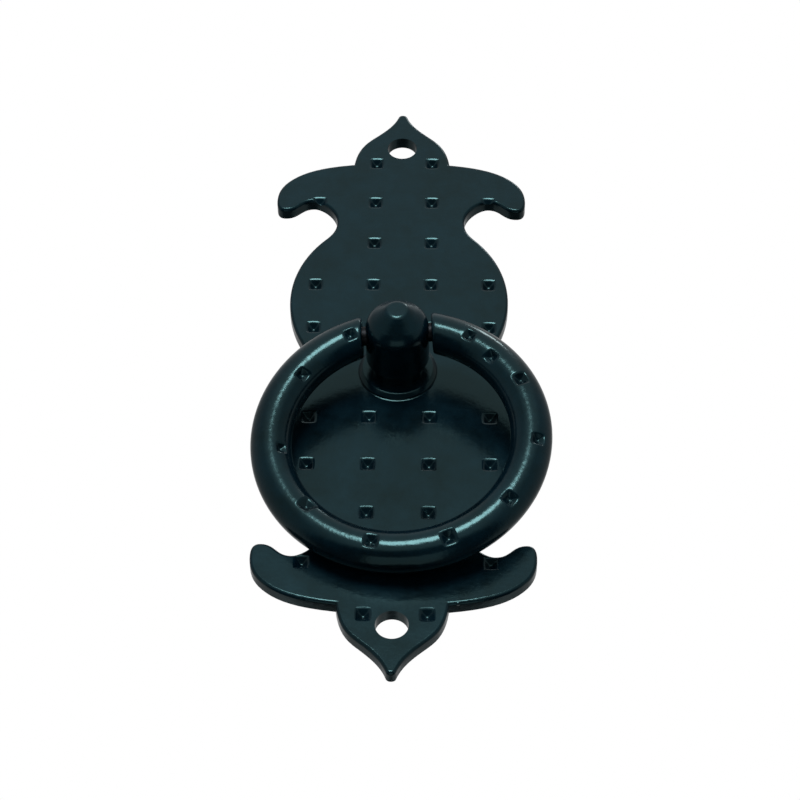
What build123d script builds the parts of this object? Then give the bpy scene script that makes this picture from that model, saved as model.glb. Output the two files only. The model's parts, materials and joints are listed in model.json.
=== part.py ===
"""Ring door knocker: a flat iron backplate, a knob on its post, and a loose ring.

The knocker is modelled as it hangs on a door. +Z is up, the front faces -Y and +X is
to the right of someone facing the door. The origin is on the back face, midway between
the two screw holes, so the whole back of the plate lies on the plane y = 0.
All sizes are in millimetres and all angles in degrees.
"""

from build123d import *
from math import asin, atan2, cos, degrees, hypot, radians, sin, sqrt
import os

# Backplate: overall outline
plate_length = 155.0
plate_width = 57.0
plate_thickness = 2.9
rim_rounding = 0.7

# The upper half came out a little narrower than the lower half
upper_half_spread = 0.972

# Backplate: the pointed head above the neck, repeated upside down below
head_height = 34.5
neck_width = 29.0
finial_width = 22.2
finial_height = 16.3
finial_flank_drop = 6.6
finial_shoulder_drop = 9.5
finial_shoulder_inset = 2.5
point_side_x = 1.15
point_side_drop = 0.95
arm_tip_drop = 31.0
arm_tip_inset = 2.0
arm_tip_rise = 3.2
arm_shoulder_inset = 2.9
arm_shoulder_drop = 5.0
armpit_drop = 28.1
armpit_inset = 8.3

# Backplate: the two round lobes that meet at the waist
lobe_width = 48.4
upper_lobe_past_middle = 5.9
lower_lobe_past_middle = 8.0
waist_radius = 14.0
lobe_into_neck = 1.9
neck_curve_drop = 5.9

# Screw holes for the wood screws that hold the knocker on the door
hole_diameter = 6.6
hole_to_tip = 11.3

# Punched dents: blunt square pyramids in rows across the plate
dent_side = 2.9
dent_depth = 1.1
dent_floor = 0.4
dent_column_pitch = 12.5
dent_row_to_hole = 3.7
dent_rows_each_way = 5
wide_dent_rows = (1, 2, 4)

# The punched rows are set a little off the middle of the outline
dents_x = 0.6
dents_z = -1.2

# Post and collar: where they stand on the plate
post_x = 0.1
post_z = -0.9

# Collar under the knob
collar_diameter = 16.4
collar_thickness = 1.2
collar_rounding = 0.8

# Knob and its post
knob_diameter = 13.2
knob_skirt_height = 4.6
knob_shoulder_height = 15.1
knob_top_height = 19.1
knob_flat_diameter = 4.4
crown_lean_at_shoulder = 44.0
shoulder_rounding = 5.0
flat_edge_rounding = 0.9
skirt_rounding = 0.5
skirt_overhang = 1.4

# Pivot pin across the knob; its bore is drilled slightly askew both ways
pivot_height = 11.5
pin_diameter = 4.0
pin_engagement = 3.2
pin_end_chamfer = 0.3
pin_push_clearance = 0.02
pin_running_clearance = 0.08
bore_lean = 3.8
bore_roll = 2.0

# Ring
ring_mean_diameter = 52.6
bar_diameter = 8.4
ring_end_gap = 0.6
ring_end_rounding = 0.5
ring_rest_gap = 0.3
bore_off_middle = 0.25
pin_hole_spare = 0.3

# Countersunk machine screw that holds the post from behind
screw_diameter = 4.0
screw_length = 10.0
screw_head_diameter = 7.6
screw_head_below_back = 0.15
screw_slot_width = 1.0
screw_slot_depth = 0.9
screw_tip_chamfer = 0.4
screw_hole_clearance = 0.15
screw_thread_clearance = 0.02
screw_seat_clearance = 0.02
screw_tip_room = 0.8

# Dents struck on the crown of the ring: (clockwise from the top, outward round the bar)
ring_dents = (
    (-22, -14), (-53, -30), (-96, -36), (-131, -20), (-166, 0), (161, 14),
    (130, 20), (99, 24), (68, 7), (50, -21), (35, -3),
)
ring_dent_side = 2.4
ring_dent_depth = 0.8

half_length = plate_length / 2
half_width = plate_width / 2
hole_z = half_length - hole_to_tip
front_y = -plate_thickness
bar_radius = bar_diameter / 2
ring_radius = ring_mean_diameter / 2
ring_end_x = knob_diameter / 2 + ring_end_gap
# The ring's two bores lie a little outside the middle of the bar.
pin_to_ring_centre = sqrt(ring_radius**2 - ring_end_x**2) + bore_off_middle
standing = (Align.CENTER, Align.CENTER, Align.MIN)


def front_cylinder(radius, length):
    """Cylinder that stands on the XY plane."""
    return Cylinder(radius, length, align=standing)


def rest_tilt():
    """Turn about the pin, from hanging parallel to the plate, that lays the ring on it.

    With k the fall of the ring's own up-line, the lowest point of the bar's middle line
    is d k + r sqrt(k^2 + side^2) below the pin, where side is the fall across the ring.
    """
    depth = pivot_height - bar_radius - ring_rest_gap
    d = pin_to_ring_centre
    r = ring_radius
    lean = radians(bore_lean)
    roll = radians(bore_roll)
    side = sin(lean) * cos(roll)
    a = r**2 - d**2
    b = 2 * depth * d
    c = (r * side) ** 2 - depth**2
    k = (-b + sqrt(b**2 - 4 * a * c)) / (2 * a)
    twist = sin(lean) * sin(roll)
    return degrees(asin(k / hypot(cos(lean), twist)) + atan2(twist, cos(lean)))


# The pin's own frame has X along the pin. The ring's frame is centred in the ring.
post_frame = Pos(post_x, front_y, post_z) * Rot(90, 0, 0)
screw_frame = Pos(post_x, 0, post_z) * Rot(90, 0, 0)
pin_frame = Pos(post_x, front_y - pivot_height, post_z) * Rot(0, 0, -bore_lean) * Rot(0, -bore_roll, 0)
ring_frame = pin_frame * Rot(rest_tilt(), 0, 0) * Pos(0, 0, -pin_to_ring_centre)


def head_outline(spread, lobe_past_middle):
    """Half of the plate: a lobe, and above it the arms and the pointed finial."""
    widest = half_width * spread
    lobe_radius = lobe_width / 2 * spread
    neck_x = neck_width / 2 * spread
    finial_x = finial_width / 2 * spread
    neck_z = half_length - head_height
    lobe_top = neck_z + lobe_into_neck
    lobe_z = (lobe_top - lobe_past_middle) / 2
    lobe_rise = (lobe_top + lobe_past_middle) / 2
    start_z = neck_z - neck_curve_drop
    lift = (start_z - lobe_z) / lobe_rise
    reach = sqrt(1 - lift**2)
    start = (lobe_radius * reach, start_z)
    start_slope = (-lobe_radius * lift, lobe_rise * reach)

    neck = (neck_x, neck_z)
    armpit = (widest - armpit_inset, half_length - armpit_drop)
    arm_tip = (widest - arm_tip_inset, half_length - arm_tip_drop)
    arm_side = (widest, arm_tip[1] + arm_tip_rise)
    junction = (finial_x, half_length - finial_height)
    arm_shoulder = (widest - arm_shoulder_inset, junction[1] - arm_shoulder_drop)
    finial_shoulder = (finial_x - finial_shoulder_inset, half_length - finial_shoulder_drop)
    flank = (finial_x / 2, half_length - finial_flank_drop)
    point_side = (point_side_x, half_length - point_side_drop)
    tip = (0, half_length)

    right_edge = [
        Spline(start, neck, tangents=(start_slope, (0, 1))),
        Spline(neck, armpit, tangents=((0, 1), (1, 0)), tangent_scalars=(1.2, 0.7)),
        Spline(armpit, arm_tip, tangents=((1, 0), (1, 0))),
        Spline(arm_tip, arm_side, tangents=((1, 0), (0, 1))),
        Spline(arm_side, arm_shoulder, junction, tangents=((0, 1), (-1, 0.12))),
        Spline(junction, finial_shoulder, flank, point_side, tip, tangents=((-0.12, 1), (-1, 0))),
    ]
    right = make_face([*right_edge, *Polyline(tip, (0, start_z), start).edges()])
    lobe = Pos(0, lobe_z) * Ellipse(lobe_radius, lobe_rise)
    return right + mirror(right, Plane.YZ) + lobe


def dent_cutter(side, depth):
    """Blunt pyramid with its wide end just above the XY plane, pointing down."""
    above = 0.2
    wide = side * (1 + above / depth)
    return loft([Pos(0, 0, above) * Rectangle(wide, wide), Pos(0, 0, -depth) * Rectangle(dent_floor, dent_floor)])


def plate_dents():
    """Places of the plate's dents: two in each row, and two more in the wide rows."""
    row_pitch = (hole_z - dent_row_to_hole) / dent_rows_each_way
    places = []
    for row in range(1, dent_rows_each_way + 1):
        columns = (-1.5, -0.5, 0.5, 1.5) if row in wide_dent_rows else (-0.5, 0.5)
        for way in (-1, 1):
            for column in columns:
                places.append((dents_x + column * dent_column_pitch, dents_z + way * row * row_pitch))
    return places


def post_screw_room():
    """The countersink, the clearance hole and the tapped hole that the screw lies in."""
    head_radius = screw_head_diameter / 2 + screw_seat_clearance
    hole_radius = screw_diameter / 2 + screw_hole_clearance
    sink = Cone(head_radius, hole_radius, head_radius - hole_radius, align=standing)
    mouth = front_cylinder(head_radius, screw_head_below_back)
    through = front_cylinder(hole_radius, plate_thickness + collar_thickness)
    tapped = front_cylinder(screw_diameter / 2 + screw_thread_clearance, screw_length + screw_tip_room)
    return screw_frame * (mouth + Pos(0, 0, screw_head_below_back) * sink + through + tapped)


def backplate():
    """Flat plate with a rounded front rim, punched dents and three holes."""
    upper = head_outline(upper_half_spread, upper_lobe_past_middle)
    lower = mirror(head_outline(1, lower_lobe_past_middle), Plane.XZ)
    body = Rot(90, 0, 0) * extrude(upper + lower, plate_thickness)
    corners = body.edges().filter_by(Axis.Y)
    waist = corners.filter_by_position(Axis.Z, -lower_lobe_past_middle, upper_lobe_past_middle)
    body = fillet(waist, waist_radius)
    front_rim = body.faces().sort_by(Axis.Y)[0].outer_wire().edges()
    body = fillet(front_rim, rim_rounding)
    facing = Pos(0, front_y, 0) * Rot(90, 0, 0)
    for z in (-hole_z, hole_z):
        body -= facing * Pos(0, z, 0) * Cylinder(hole_diameter / 2, 3 * plate_thickness)
    cutter = dent_cutter(dent_side, dent_depth)
    for x, z in plate_dents():
        body -= facing * Pos(x, z, 0) * cutter
    return body - post_screw_room()


def base_collar():
    """Turned washer between the post's foot and the plate."""
    disc = front_cylinder(collar_diameter / 2, collar_thickness)
    disc = fillet(disc.edges().sort_by(Axis.Z)[-1], collar_rounding)
    return post_frame * disc - post_screw_room()


def knob_post():
    """Turned knob with a flat-topped crown and a narrower foot, bored across for the pin."""
    knob_radius = knob_diameter / 2
    neck_radius = knob_radius - skirt_overhang
    flat_edge = (knob_flat_diameter / 2, 0, knob_top_height)
    shoulder = (knob_radius, 0, knob_shoulder_height)
    lean = radians(crown_lean_at_shoulder)
    crown = TangentArc(shoulder, flat_edge, tangent=(-sin(lean), 0, cos(lean)))
    rest = Polyline(
        flat_edge,
        (0, 0, knob_top_height),
        (0, 0, collar_thickness),
        (neck_radius, 0, collar_thickness),
        (neck_radius, 0, knob_skirt_height),
        (knob_radius, 0, knob_skirt_height),
        shoulder,
    )
    body = revolve(make_face([crown, *rest.edges()]), Axis.Z)
    for height, rounding in (
        (knob_skirt_height, skirt_rounding),
        (knob_shoulder_height, shoulder_rounding),
        (knob_top_height, flat_edge_rounding),
    ):
        rims = body.edges().filter_by(GeomType.CIRCLE).group_by(Axis.Z).group(height)
        body = fillet(rims.sort_by(SortBy.RADIUS)[-1], rounding)
    bore = Cylinder(pin_diameter / 2 + pin_push_clearance, 2 * knob_diameter)
    return post_frame * body - pin_frame * Rot(0, 90, 0) * bore - post_screw_room()


def pivot_pin():
    """Straight steel pin pushed through the knob, with both ends left standing out."""
    pin = Cylinder(pin_diameter / 2, 2 * (ring_end_x + pin_engagement))
    pin = chamfer(pin.edges().filter_by(GeomType.CIRCLE), pin_end_chamfer)
    return pin_frame * Rot(0, 90, 0) * pin


def ring():
    """Round bar bent to a ring, its two ends squared off and drilled for the pin."""
    body = Rot(90, 0, 0) * Torus(ring_radius, bar_radius)
    body -= Box(2 * ring_end_x, 4 * bar_radius, 2 * ring_radius, align=standing)
    end_faces = body.faces().filter_by(GeomType.PLANE)
    body = fillet(end_faces.edges(), ring_end_rounding)
    drill = Cylinder(
        pin_diameter / 2 + pin_running_clearance, 2 * (ring_end_x + pin_engagement + pin_hole_spare)
    )
    body -= Pos(0, 0, pin_to_ring_centre) * Rot(0, 90, 0) * drill
    cutter = dent_cutter(ring_dent_side, ring_dent_depth)
    for turn, roll in ring_dents:
        on_bar = Rot(0, turn, 0) * Pos(0, 0, ring_radius) * Rot(90 - roll, 0, 0) * Pos(0, 0, bar_radius)
        body -= on_bar * cutter
    return ring_frame * body


def post_screw():
    """Slotted countersunk machine screw, from the back of the plate into the post."""
    head_radius = screw_head_diameter / 2
    shank_radius = screw_diameter / 2
    shank = front_cylinder(shank_radius, screw_length - screw_head_below_back)
    shank = chamfer(shank.edges().sort_by(Axis.Z)[-1], screw_tip_chamfer)
    head = Cone(head_radius, shank_radius, head_radius - shank_radius, align=standing)
    slot = Box(3 * head_radius, screw_slot_width, 2 * screw_slot_depth)
    return screw_frame * Pos(0, 0, screw_head_below_back) * (shank + head - slot)


os.makedirs("parts", exist_ok=True)
for make_piece in (backplate, base_collar, knob_post, pivot_pin, ring, post_screw):
    export_step(make_piece(), f"parts/{make_piece.__name__}.step")
print("The ring rests", round(rest_tilt(), 3), "degrees from hanging parallel to the plate.")
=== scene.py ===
import json
import math

import bpy
from mathutils import Matrix, Vector


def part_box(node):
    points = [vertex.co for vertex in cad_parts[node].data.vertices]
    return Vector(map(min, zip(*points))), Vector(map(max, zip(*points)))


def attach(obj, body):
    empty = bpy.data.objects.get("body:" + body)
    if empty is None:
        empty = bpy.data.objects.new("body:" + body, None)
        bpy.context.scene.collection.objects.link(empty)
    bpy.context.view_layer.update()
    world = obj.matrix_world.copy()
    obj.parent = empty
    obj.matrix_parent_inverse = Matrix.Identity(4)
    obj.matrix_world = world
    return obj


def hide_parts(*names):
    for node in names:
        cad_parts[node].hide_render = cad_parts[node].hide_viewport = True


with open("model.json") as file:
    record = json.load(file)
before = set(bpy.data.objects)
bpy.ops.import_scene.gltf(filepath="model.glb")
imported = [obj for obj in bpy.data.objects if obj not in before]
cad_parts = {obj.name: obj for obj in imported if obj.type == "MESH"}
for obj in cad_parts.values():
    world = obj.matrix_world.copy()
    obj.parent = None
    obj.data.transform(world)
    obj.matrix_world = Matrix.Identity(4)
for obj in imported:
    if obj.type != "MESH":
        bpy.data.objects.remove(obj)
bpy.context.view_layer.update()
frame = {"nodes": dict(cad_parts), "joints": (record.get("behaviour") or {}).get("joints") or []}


# Backplate
# A flat iron plate sawn to pointed and curled ends, with blunt square dents punched into
# its front in rows, then painted satin black. A wood screw through each end holds it on
# the door.
MM = 0.001
plate_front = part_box("backplate")[0].y
plate_half_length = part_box("backplate")[1].z
hole_to_plate_tip = 11.3 * MM
screw_hole_height = plate_half_length - hole_to_plate_tip
dent_rows_each_way = 5
dent_row_to_hole = 3.7 * MM
dent_row_pitch = (screw_hole_height - dent_row_to_hole) / dent_rows_each_way
dent_column_pitch = 12.5 * MM
dents_middle = Vector((0.6 * MM, plate_front, -1.2 * MM))
wide_dent_rows = (1, 2, 4)
join_distance = 0.002 * MM
flat_within = math.radians(0.5)
punch_corner_percent = 12
# Half width and height of the dent's section, from the soft lip down to the blunt tip
dent_section = (
    (2.40, 0.60), (2.30, 0.25), (1.95, 0.06), (1.64, -0.04), (1.39, -0.13), (1.16, -0.33),
    (0.68, -0.82), (0.38, -1.08), (0.15, -1.17),
)


def choose(piece):
    """Leaves one object selected and active."""
    bpy.ops.object.select_all(action="DESELECT")
    piece.select_set(True)
    bpy.context.view_layer.objects.active = piece


def merged_copy(node, name):
    """New piece with the shape of a CAD node, its loose triangles joined up."""
    piece = bpy.data.objects.new(name, frame["nodes"][node].data.copy())
    bpy.context.scene.collection.objects.link(piece)
    choose(piece)
    bpy.ops.mesh.customdata_custom_splitnormals_clear()
    bpy.ops.object.mode_set(mode="EDIT")
    bpy.ops.mesh.select_all(action="SELECT")
    bpy.ops.mesh.remove_doubles(threshold=join_distance)
    bpy.ops.mesh.dissolve_limited(angle_limit=flat_within)
    bpy.ops.object.mode_set(mode="OBJECT")
    return piece


def stepped_solid(name, section):
    """Solid grown from the active flat outline: each step is (size share, height)."""
    solid = bpy.context.active_object
    solid.name = name
    bpy.ops.object.mode_set(mode="EDIT")
    bpy.ops.mesh.select_all(action="SELECT")
    before = section[0]
    for step in section[1:]:
        rise = (0, 0, step[1] - before[1])
        bpy.ops.mesh.extrude_region_move(TRANSFORM_OT_translate={"value": rise})
        share = step[0] / before[0]
        bpy.ops.transform.resize(value=(share, share, 1))
        before = step
    bpy.ops.mesh.select_all(action="SELECT")
    bpy.ops.mesh.normals_make_consistent(inside=False)
    bpy.ops.object.mode_set(mode="OBJECT")
    return solid


def punched_space(name, section):
    """Space that a blunt square punch leaves in a flat face, its corners well rounded."""
    section = [(width * MM, height * MM) for width, height in section]
    bpy.ops.mesh.primitive_plane_add(size=2 * section[0][0], location=(0, 0, section[0][1]))
    bpy.ops.object.transform_apply(location=True, rotation=False, scale=False)
    bpy.ops.object.mode_set(mode="EDIT")
    bpy.ops.mesh.select_all(action="SELECT")
    bpy.ops.mesh.bevel(
        offset_type="PERCENT", offset_pct=punch_corner_percent, segments=1, affect="VERTICES"
    )
    bpy.ops.object.mode_set(mode="OBJECT")
    space = stepped_solid(name, section)
    rounder = space.modifiers.new("rounder", "SUBSURF")
    rounder.levels = 2
    rounder.render_levels = 2
    bpy.ops.object.modifier_apply(modifier=rounder.name)
    return space


def combine(piece, tools, operation="DIFFERENCE"):
    """Cuts the tools out of a piece, or adds them to it, and removes them."""
    choose(tools[0])
    for tool in tools:
        tool.select_set(True)
    bpy.ops.object.join()
    joined = bpy.context.active_object
    change = piece.modifiers.new("change", "BOOLEAN")
    change.operation = operation
    change.solver = "EXACT"
    change.object = joined
    choose(piece)
    bpy.ops.object.modifier_apply(modifier=change.name)
    bpy.data.objects.remove(joined)


def own_copy(piece, place):
    """A copy with its own mesh, moved by a matrix."""
    copy = bpy.data.objects.new(piece.name, piece.data.copy())
    bpy.context.scene.collection.objects.link(copy)
    copy.data.transform(place)
    return copy


def smooth_shade(piece, angle=38):
    """Smooth shading that leaves wide flat faces flat."""
    choose(piece)
    bpy.ops.object.shade_smooth_by_angle(angle=math.radians(angle))
    weighted = piece.modifiers.new("flat_faces_lead", "WEIGHTED_NORMAL")
    weighted.weight = 80
    weighted.keep_sharp = True
    bpy.ops.object.modifier_apply(modifier=weighted.name)


def finish_piece(piece, paint, body, node):
    """Paints a piece, ties it to its body, and hides the node that it replaces."""
    piece.data.materials.clear()
    piece.data.materials.append(paint)
    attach(piece, body)
    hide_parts(node)


def black_paint(name, base, roughness, peel, seed):
    """Satin black paint: a faint cloudy tone, fine orange peel and a few dust specks."""
    material = bpy.data.materials.new(name)
    material.use_nodes = True
    nodes = material.node_tree.nodes
    links = material.node_tree.links
    shader = nodes["Principled BSDF"]
    place = nodes.new("ShaderNodeTexCoord")
    shifted = nodes.new("ShaderNodeVectorMath")
    shifted.inputs[1].default_value = (seed, seed, seed)
    links.new(place.outputs["Object"], shifted.inputs[0])

    cloud = nodes.new("ShaderNodeTexNoise")
    cloud.inputs["Scale"].default_value = 70
    cloud.inputs["Detail"].default_value = 9
    cloud.inputs["Roughness"].default_value = 0.78
    links.new(shifted.outputs[0], cloud.inputs["Vector"])
    tone = nodes.new("ShaderNodeMix")
    tone.data_type = "RGBA"
    darkest, lightest = 0.2, 1.8
    tone.inputs["A"].default_value = (*(part * darkest for part in base), 1)
    tone.inputs["B"].default_value = (*(part * lightest for part in base), 1)
    spread = nodes.new("ShaderNodeMapRange")
    spread.inputs["From Min"].default_value = 0.3
    spread.inputs["From Max"].default_value = 0.7
    links.new(cloud.outputs["Fac"], spread.inputs["Value"])
    links.new(spread.outputs["Result"], tone.inputs["Factor"])
    links.new(tone.outputs["Result"], shader.inputs["Base Color"])
    rough = nodes.new("ShaderNodeMapRange")
    rough.inputs["From Min"].default_value = 0.3
    rough.inputs["From Max"].default_value = 0.7
    rough_spread = 0.04
    rough.inputs["To Min"].default_value = roughness - rough_spread
    rough.inputs["To Max"].default_value = roughness + rough_spread
    links.new(cloud.outputs["Fac"], rough.inputs["Value"])
    links.new(rough.outputs["Result"], shader.inputs["Roughness"])

    waves = nodes.new("ShaderNodeTexNoise")
    waves.inputs["Scale"].default_value = 130
    waves.inputs["Detail"].default_value = 1
    links.new(shifted.outputs[0], waves.inputs["Vector"])
    wave_bump = nodes.new("ShaderNodeBump")
    wave_bump.inputs["Strength"].default_value = 0.5
    wave_bump.inputs["Distance"].default_value = 0.12 * MM
    links.new(waves.outputs["Fac"], wave_bump.inputs["Height"])
    fine = nodes.new("ShaderNodeTexNoise")
    fine.inputs["Scale"].default_value = 1100
    fine.inputs["Detail"].default_value = 2
    links.new(shifted.outputs[0], fine.inputs["Vector"])
    fine_bump = nodes.new("ShaderNodeBump")
    fine_bump.inputs["Strength"].default_value = peel
    fine_bump.inputs["Distance"].default_value = 0.08 * MM
    links.new(fine.outputs["Fac"], fine_bump.inputs["Height"])
    links.new(wave_bump.outputs["Normal"], fine_bump.inputs["Normal"])

    cells = nodes.new("ShaderNodeTexVoronoi")
    cells.inputs["Scale"].default_value = 75
    links.new(shifted.outputs[0], cells.inputs["Vector"])
    speck = nodes.new("ShaderNodeMapRange")
    speck.interpolation_type = "SMOOTHSTEP"
    speck.inputs["From Min"].default_value = 0.035
    speck.inputs["From Max"].default_value = 0.01
    links.new(cells.outputs["Distance"], speck.inputs["Value"])
    speck_bump = nodes.new("ShaderNodeBump")
    speck_bump.inputs["Strength"].default_value = 0.8
    speck_bump.inputs["Distance"].default_value = 0.15 * MM
    links.new(speck.outputs["Result"], speck_bump.inputs["Height"])
    links.new(fine_bump.outputs["Normal"], speck_bump.inputs["Normal"])
    links.new(speck_bump.outputs["Normal"], shader.inputs["Normal"])
    shader.inputs["Specular Tint"].default_value = (0.47, 0.96, 1.0, 1)
    return material


paint_tone = (0.0008, 0.007, 0.0125)
plate_paint = black_paint("black_paint_on_plate", paint_tone, 0.19, 0.25, 0)
plate = merged_copy("backplate", "painted_backplate")

dents = []
for row in range(1, dent_rows_each_way + 1):
    columns = (-1.5, -0.5, 0.5, 1.5) if row in wide_dent_rows else (-0.5, 0.5)
    for way in (-1, 1):
        for column in columns:
            along = Vector((column * dent_column_pitch, 0, way * row * dent_row_pitch))
            dents.append(dents_middle + along)

punched = punched_space("punched", dent_section)
facing = Matrix.Rotation(math.radians(90), 4, "X")
combine(plate, [own_copy(punched, Matrix.Translation(place) @ facing) for place in dents])
smooth_shade(plate)
finish_piece(plate, plate_paint, "plate_body", "backplate")


# Collar under the knob
# A turned iron washer with a sloped edge, between the knob's foot and the plate. The
# paint gathers in a thin bead where the collar meets the plate.
collar_low, collar_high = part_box("base_collar")
collar_middle = (collar_low + collar_high) / 2
post_foot = Vector((collar_middle.x, plate_front, collar_middle.z))
collar_radius = (collar_high.x - collar_low.x) / 2
collar_thickness = collar_high.y - collar_low.y
collar_slope = 0.8 * MM
paint_bead = 0.25 * MM
stand_out = Matrix.Translation(post_foot) @ Matrix.Rotation(math.radians(90), 4, "X")


def turned(name, section, sides=128):
    """Solid turned on the Z axis: each step is (radius, height)."""
    bpy.ops.mesh.primitive_circle_add(
        vertices=sides, radius=section[0][0], fill_type="NGON", location=(0, 0, section[0][1])
    )
    bpy.ops.object.transform_apply(location=True, rotation=False, scale=False)
    return stepped_solid(name, section)


def soft_corner(before, corner, after, width, steps=6):
    """Points that round one corner of a turned section, starting a width away from it."""
    before, corner, after = Vector(before), Vector(corner), Vector(after)
    start = corner + width * (before - corner).normalized()
    end = corner + width * (after - corner).normalized()
    shares = [step / steps for step in range(steps + 1)]
    return [tuple((1 - t) ** 2 * start + 2 * t * (1 - t) * corner + t**2 * end) for t in shares]


collar_rim = (collar_radius, collar_thickness - collar_slope)
collar_top = (collar_radius - collar_slope, collar_thickness)
collar = turned("painted_base_collar", (
    (collar_radius + paint_bead, 0),
    (collar_radius + 0.3 * paint_bead, 0.2 * paint_bead),
    (collar_radius, paint_bead),
    *soft_corner((collar_radius, 0), collar_rim, collar_top, 0.12 * MM, 3),
    *soft_corner(collar_rim, collar_top, (0, collar_thickness), 0.2 * MM, 4),
))
collar.data.transform(stand_out)
smooth_shade(collar)
knob_paint = black_paint("black_paint_on_knob", paint_tone, 0.2, 0.3, 1)
finish_piece(collar, knob_paint, "plate_body", "base_collar")


# Knob and its post
# A turned iron post whose thick head has a soft shoulder, a sloping crown and a small
# flat on top. It is drilled across for the pin, and painted with the plate.
knob_height = plate_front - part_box("knob_post")[0].y
knob_radius = 6.6 * MM
knob_neck_radius = 5.2 * MM
knob_skirt_height = 4.6 * MM
knob_shoulder_height = 15.1 * MM
knob_flat_radius = 2.2 * MM
crown_bulge = 0.05 * MM
knob_skirt_rounding = 0.45 * MM
knob_shoulder_rounding = 2.1 * MM
knob_flat_rounding = 0.6 * MM
pin_bore_radius = 2.02 * MM

hinge = frame["joints"][0]
pin_middle = Vector(hinge["pos_m"])
pin_line = -Vector(hinge["axis"]).normalized()
pin_swivel = Matrix.Rotation(math.atan2(pin_line.y, pin_line.x), 4, "Z")
pin_turn = pin_swivel @ Matrix.Rotation(-math.asin(pin_line.z), 4, "Y")
lie_across = Matrix.Rotation(math.radians(90), 4, "Y")
along_pin = Matrix.Translation(pin_middle) @ pin_turn @ lie_across

knob_skirt = (knob_radius, knob_skirt_height)
knob_shoulder = (knob_radius, knob_shoulder_height)
crown_middle = (
    (knob_radius + knob_flat_radius) / 2 + crown_bulge,
    (knob_shoulder_height + knob_height) / 2 + crown_bulge,
)
knob_flat = (knob_flat_radius, knob_height)
knob = turned("painted_knob_post", (
    (knob_neck_radius, collar_thickness),
    (knob_neck_radius, knob_skirt_height),
    *soft_corner((0, knob_skirt_height), knob_skirt, knob_shoulder, knob_skirt_rounding, 4),
    *soft_corner(knob_skirt, knob_shoulder, crown_middle, knob_shoulder_rounding, 12),
    *soft_corner(crown_middle, knob_flat, (0, knob_height), knob_flat_rounding, 6),
))
knob.data.transform(stand_out)
bpy.ops.mesh.primitive_cylinder_add(
    vertices=64, radius=pin_bore_radius, depth=3 * knob_radius
)
bore = bpy.context.active_object
bore.data.transform(along_pin)
combine(knob, [bore])
smooth_shade(knob, 30)
finish_piece(knob, knob_paint, "plate_body", "knob_post")


# Pivot pin
# A straight steel pin pushed through the knob, with each end standing out into the
# ring's bores. It is oiled, not painted; its near-black tone is painted shade that keeps the
# gaps between the ring's ends and the knob dark.
def plain_steel(name, tone, roughness, stretch, metal_grain):
    """Bare or plated steel with a fine grain that runs along one direction."""
    material = bpy.data.materials.new(name)
    material.use_nodes = True
    nodes = material.node_tree.nodes
    links = material.node_tree.links
    shader = nodes["Principled BSDF"]
    shader.inputs["Metallic"].default_value = 1
    place = nodes.new("ShaderNodeTexCoord")
    mapping = nodes.new("ShaderNodeMapping")
    mapping.inputs["Scale"].default_value = stretch
    links.new(place.outputs["Object"], mapping.inputs["Vector"])
    grain = nodes.new("ShaderNodeTexNoise")
    grain.inputs["Scale"].default_value = metal_grain
    grain.inputs["Detail"].default_value = 5
    links.new(mapping.outputs["Vector"], grain.inputs["Vector"])
    shade = nodes.new("ShaderNodeMix")
    shade.data_type = "RGBA"
    darkest, lightest = 0.75, 1.2
    shade.inputs["A"].default_value = (*(part * darkest for part in tone), 1)
    shade.inputs["B"].default_value = (*(part * lightest for part in tone), 1)
    links.new(grain.outputs["Fac"], shade.inputs["Factor"])
    links.new(shade.outputs["Result"], shader.inputs["Base Color"])
    rough = nodes.new("ShaderNodeMapRange")
    rough.inputs["To Min"].default_value = roughness - 0.08
    rough.inputs["To Max"].default_value = roughness + 0.12
    links.new(grain.outputs["Fac"], rough.inputs["Value"])
    links.new(rough.outputs["Result"], shader.inputs["Roughness"])
    bump = nodes.new("ShaderNodeBump")
    bump.inputs["Strength"].default_value = 0.3
    bump.inputs["Distance"].default_value = 0.03 * MM
    links.new(grain.outputs["Fac"], bump.inputs["Height"])
    links.new(bump.outputs["Normal"], shader.inputs["Normal"])
    return material


# Near-black pin tone: painted shade for the gaps between the ring's ends and the knob
pin_painted_shade_tone = (0.02, 0.022, 0.025)
pin_grain_stretch = (0.15, 1, 1)
pin_steel = plain_steel("pin_steel_painted_shade", pin_painted_shade_tone, 0.45, pin_grain_stretch, 1400)
frame["nodes"]["pivot_pin"].material_slots[0].material = pin_steel


# Post screw
# A slotted countersunk machine screw, zinc plated, driven from behind the plate into the
# post. It holds the collar and the knob on.
zinc_tone = (0.52, 0.53, 0.54)
screw_steel = plain_steel("zinc_plated_screw_steel", zinc_tone, 0.35, (1, 1, 1), 500)
frame["nodes"]["post_screw"].material_slots[0].material = screw_steel


# Ring
# A round iron bar bent to a ring, its two ends squared off and bored for the pin, with
# blunt dents struck on its crown. Painted black. It hangs loose on the pin.
ring_radius = 26.3 * MM
bar_radius = 4.2 * MM
ring_end_x = 7.2 * MM
ring_rest_tilt = 7.432
bore_off_middle = 0.25 * MM
ring_drop = math.sqrt(ring_radius**2 - ring_end_x**2) + bore_off_middle
ring_grain = 0.27 * MM
struck_wider = 1.05
struck_deeper = 1.15
# Each dent: degrees clockwise from the top, degrees outward round the bar, and size
ring_dents = (
    (-22, -14, 0.8), (-53, -30, 0.85), (-96, -36, 0.75), (-131, -20, 1.0),
    (-166, 0, 0.95), (161, 14, 1.0), (130, 20, 0.95), (99, 24, 0.9),
    (68, 7, 0.95), (50, -21, 0.85), (35, -3, 0.8),
)
ring_swung = Matrix.Rotation(math.radians(ring_rest_tilt), 4, "X")
ring_hung = ring_swung @ Matrix.Translation((0, 0, -ring_drop))
ring_place = Matrix.Translation(pin_middle) @ pin_turn @ ring_hung

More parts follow.
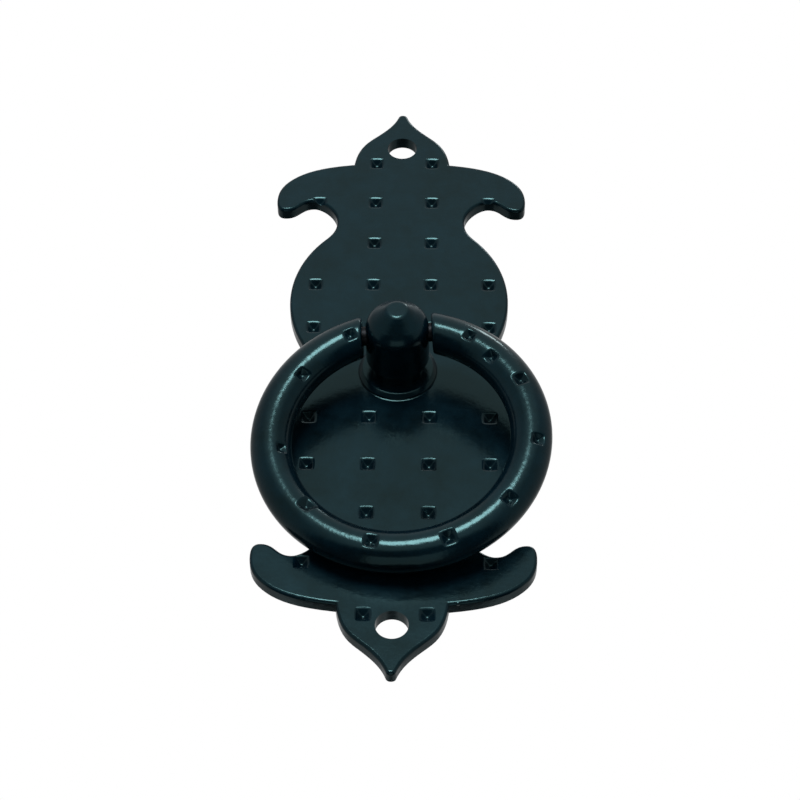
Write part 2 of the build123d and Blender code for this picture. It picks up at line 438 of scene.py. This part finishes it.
ring = merged_copy("ring", "painted_ring")
choose(ring)
remesh = ring.modifiers.new("one_skin", "REMESH")
remesh.mode = "VOXEL"
remesh.voxel_size = ring_grain
bpy.ops.object.modifier_apply(modifier=remesh.name)
soften = ring.modifiers.new("soften", "SMOOTH")
soften.factor = 0.5
soften.iterations = 6
bpy.ops.object.modifier_apply(modifier=soften.name)
struck_section = [
    (width * struck_wider, height * struck_deeper) for width, height in dent_section
]
struck = punched_space("struck", struck_section)
spaces = []
for turn, roll, size in ring_dents:
    round_ring = Matrix.Rotation(math.radians(turn), 4, "Y")
    round_bar = Matrix.Rotation(math.radians(90 - roll), 4, "X")
    out_to_bar = Matrix.Translation((0, 0, ring_radius))
    on_bar = ring_place @ round_ring @ out_to_bar @ round_bar
    space = own_copy(struck, Matrix.Scale(size, 4))
    for vertex in space.data.vertices:
        vertex.co.z -= vertex.co.y**2 / (2 * bar_radius)
    space.data.transform(on_bar @ Matrix.Translation((0, 0, bar_radius)))
    spaces.append(space)
combine(ring, spaces)
choose(ring)
bpy.ops.object.shade_smooth_by_angle(angle=math.radians(50))
ring_paint = black_paint("black_paint_on_ring", paint_tone, 0.19, 0.3, 2)
finish_piece(ring, ring_paint, "ring_body", "ring")
for spare in (punched, struck):
    bpy.data.objects.remove(spare)


# Room
# A small pale floor below the knocker, a soft lamp in front of it, a weaker one above it,
# and a pale surround that darkens below.
floor_size = 0.4
floor_height = -0.5
bpy.ops.mesh.primitive_plane_add(size=floor_size, location=(0, 0, floor_height))
floor = bpy.context.active_object
floor.name = "floor"
floor_paint = bpy.data.materials.new("floor_paint")
floor_paint.use_nodes = True
nodes = floor_paint.node_tree.nodes
links = floor_paint.node_tree.links
ray = nodes.new("ShaderNodeLightPath")
white = nodes.new("ShaderNodeEmission")
mix = nodes.new("ShaderNodeMixShader")
nodes["Principled BSDF"].inputs["Base Color"].default_value = (0.6, 0.6, 0.6, 1)
nodes["Principled BSDF"].inputs["Roughness"].default_value = 0.9
links.new(ray.outputs["Is Camera Ray"], mix.inputs["Fac"])
links.new(nodes["Principled BSDF"].outputs[0], mix.inputs[1])
links.new(white.outputs[0], mix.inputs[2])
links.new(mix.outputs[0], nodes["Material Output"].inputs["Surface"])
floor.data.materials.append(floor_paint)

world = bpy.data.worlds.new("surround")
bpy.context.scene.world = world
world.use_nodes = True
nodes = world.node_tree.nodes
links = world.node_tree.links
ray = nodes.new("ShaderNodeLightPath")
seen = nodes.new("ShaderNodeBackground")
seen.inputs["Strength"].default_value = 1
seen.inputs["Color"].default_value = (1, 1, 1, 1)
heading = nodes.new("ShaderNodeTexCoord")
part = nodes.new("ShaderNodeSeparateXYZ")
links.new(heading.outputs["Generated"], part.inputs["Vector"])
rise = nodes.new("ShaderNodeMapRange")
rise.interpolation_type = "SMOOTHSTEP"
rise.inputs["From Min"].default_value = -0.60
rise.inputs["From Max"].default_value = -0.36
rise.inputs["To Min"].default_value = 0.05
rise.inputs["To Max"].default_value = 0.55
links.new(part.outputs["Z"], rise.inputs["Value"])
sideways = nodes.new("ShaderNodeMath")
sideways.operation = "ABSOLUTE"
links.new(part.outputs["X"], sideways.inputs[0])
fade = nodes.new("ShaderNodeMapRange")
fade.interpolation_type = "SMOOTHSTEP"
fade.inputs["From Min"].default_value = 0.25
fade.inputs["From Max"].default_value = 0.7
fade.inputs["To Min"].default_value = 1.0
fade.inputs["To Max"].default_value = 0.45
links.new(sideways.outputs[0], fade.inputs["Value"])
level = nodes.new("ShaderNodeMath")
level.operation = "MULTIPLY"
links.new(rise.outputs["Result"], level.inputs[0])
links.new(fade.outputs["Result"], level.inputs[1])
soft = nodes["Background"]
soft.inputs["Color"].default_value = (1, 1, 1, 1)
links.new(level.outputs[0], soft.inputs["Strength"])
either = nodes.new("ShaderNodeMath")
either.operation = "MAXIMUM"
links.new(ray.outputs["Is Camera Ray"], either.inputs[0])
links.new(ray.outputs["Is Transmission Ray"], either.inputs[1])
mix = nodes.new("ShaderNodeMixShader")
links.new(either.outputs[0], mix.inputs["Fac"])
links.new(soft.outputs[0], mix.inputs[1])
links.new(seen.outputs[0], mix.inputs[2])
links.new(mix.outputs[0], nodes["World Output"].inputs["Surface"])


def soft_lamp(name, place, aim, size, power):
    """Round soft lamp that faces a point."""
    lamp = bpy.data.lights.new(name, "AREA")
    lamp.shape = "DISK"
    lamp.size = size
    lamp.energy = power
    holder = bpy.data.objects.new(name, lamp)
    bpy.context.scene.collection.objects.link(holder)
    holder.location = place
    towards = Vector(aim) - Vector(place)
    holder.rotation_euler = towards.to_track_quat("-Z", "Y").to_euler()


soft_lamp("lamp_front", (-0.05, -0.9, 0.14), (0, 0, 0), 0.34, 4.2)
soft_lamp("lamp_above", (0.28, -0.2, 0.85), (0, 0, 0), 0.16, 0.5)


# Camera
# It looks up at the knocker from in front and below.
camera_place = (0.0092052, -0.4021115, -0.3492786)
camera_turn = (130.44256, -0.91401, 0.44394)
film_width = 36
lens_length = 113.321
view = bpy.data.cameras.new("camera")
view.sensor_width = film_width
view.lens = lens_length
camera = bpy.data.objects.new("camera", view)
camera.location = camera_place
camera.rotation_euler = [math.radians(turn) for turn in camera_turn]
bpy.context.scene.collection.objects.link(camera)
bpy.context.scene.camera = camera
bpy.context.scene.view_settings.view_transform = "Standard"
